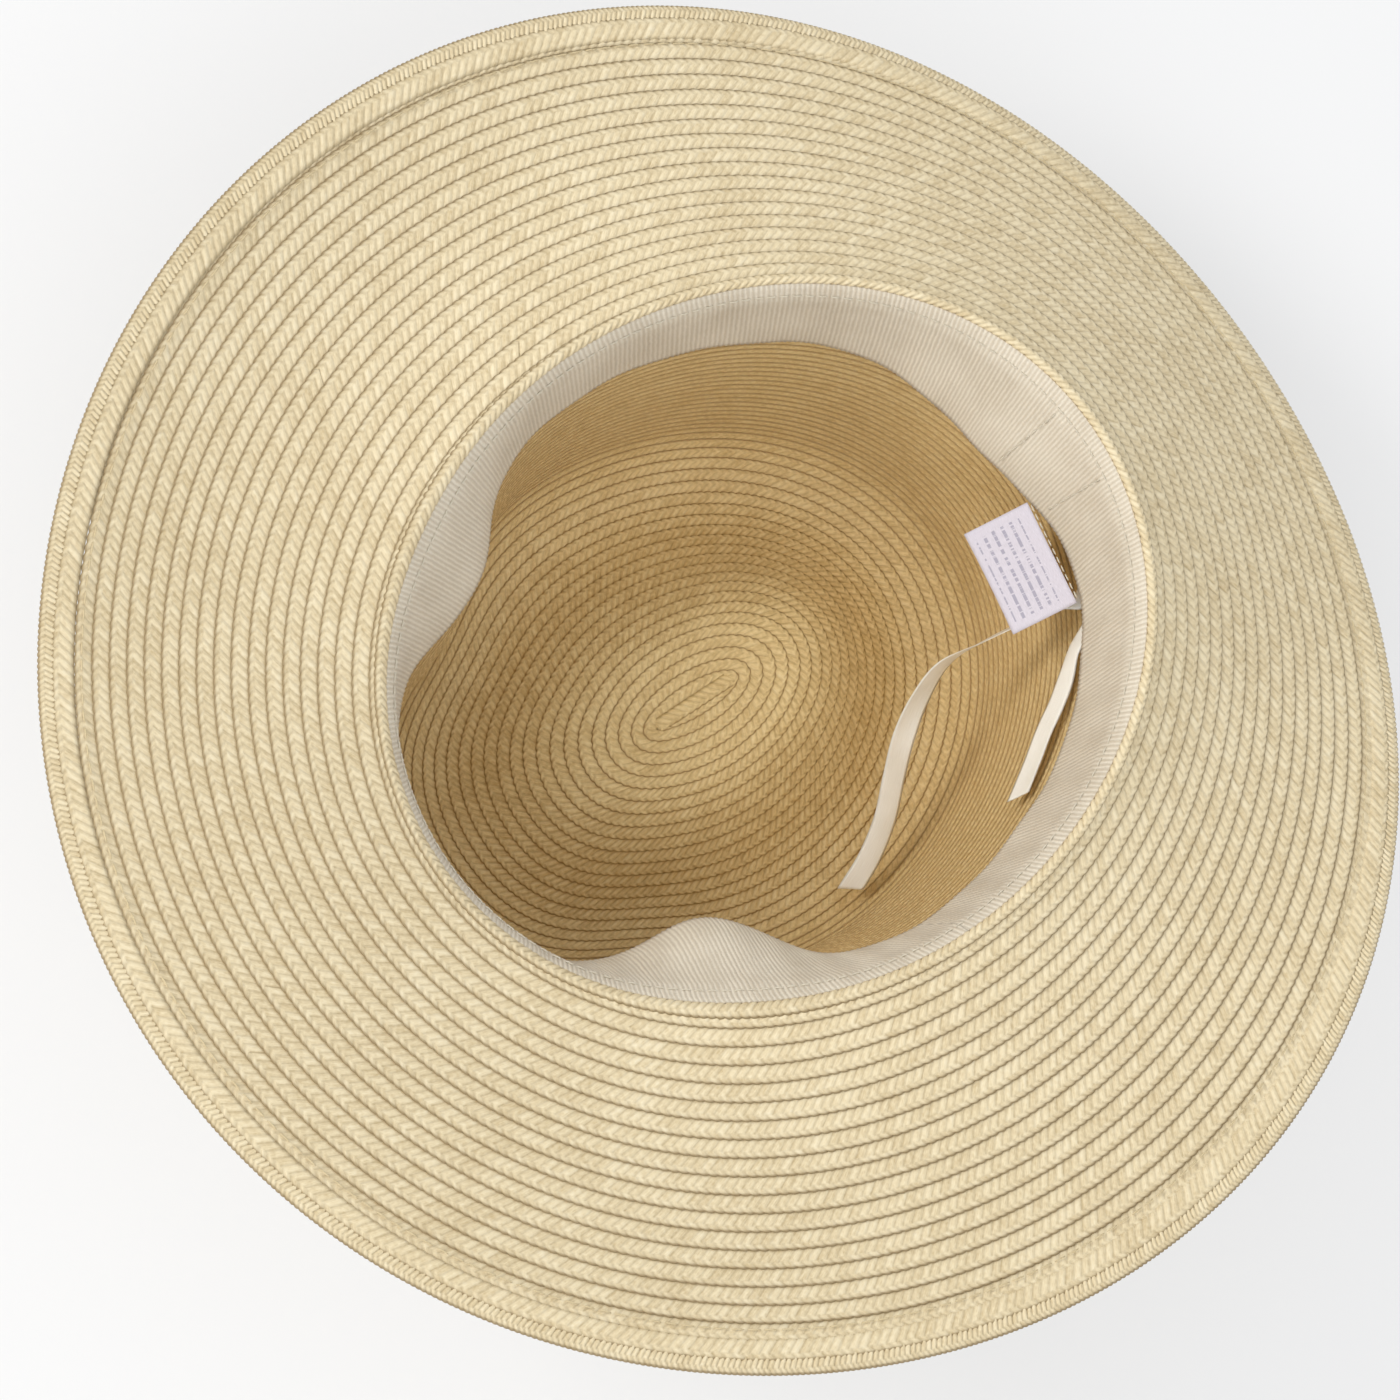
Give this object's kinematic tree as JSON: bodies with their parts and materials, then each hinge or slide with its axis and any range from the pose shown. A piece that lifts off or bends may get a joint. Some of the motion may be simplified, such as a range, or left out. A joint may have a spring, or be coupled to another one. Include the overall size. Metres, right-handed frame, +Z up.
{
  "type": "straw hat",
  "caption": "Wide-brimmed sun hat of spirally sewn straw braid, lying on its crown, with dented tip, sweatband, size tape, care label, ribbon and bow.",
  "frame": {"origin": "centre of the hat's outline, on the surface that its crown lies on", "axes": "+Z up out of the head opening, with the hat lying on its crown; -Y towards the front of the hat, +Y towards its back"},
  "size_m": [0.3377, 0.3475, 0.1363],
  "materials": {
    "straw_crown": "matte woven straw",
    "straw_brim": "matte woven straw",
    "straw_thread": "matte",
    "sweatband_cloth": "matte twill",
    "cream_thread": "matte",
    "satin_tape": "satin",
    "label_cloth": "satin",
    "ribbon": "ribbed grosgrain"
  },
  "bodies": {
    "hat": {"crown_tip": "straw_crown", "crown_side": "straw_crown", "brim": "straw_brim", "brim_edge": "straw_brim", "edge_stitching": "straw_thread", "sweatband": "sweatband_cloth", "sweatband_stitching": "cream_thread", "sweatband_seam": "cream_thread", "tape_run": "satin_tape", "tape_tail_long": "satin_tape", "tape_tail_short": "satin_tape", "label_stitching": "cream_thread", "hatband": "ribbon", "hatband_overlap": "ribbon", "bow_loops": "ribbon", "bow_knot": "ribbon", "hatband_tacks": "ribbon"},
    "label": {"care_label": "label_cloth"}
  },
  "joints": [
    {"name": "label_flip", "type": "hinge", "parent": "hat", "child": "label", "pos_m": [0.0159, 0.0893, 0.083], "axis": [0.9903, -0.1392, 0], "range_deg": [-110, 10], "stiffness_Nm_per_rad": 0.0004}
  ]
}
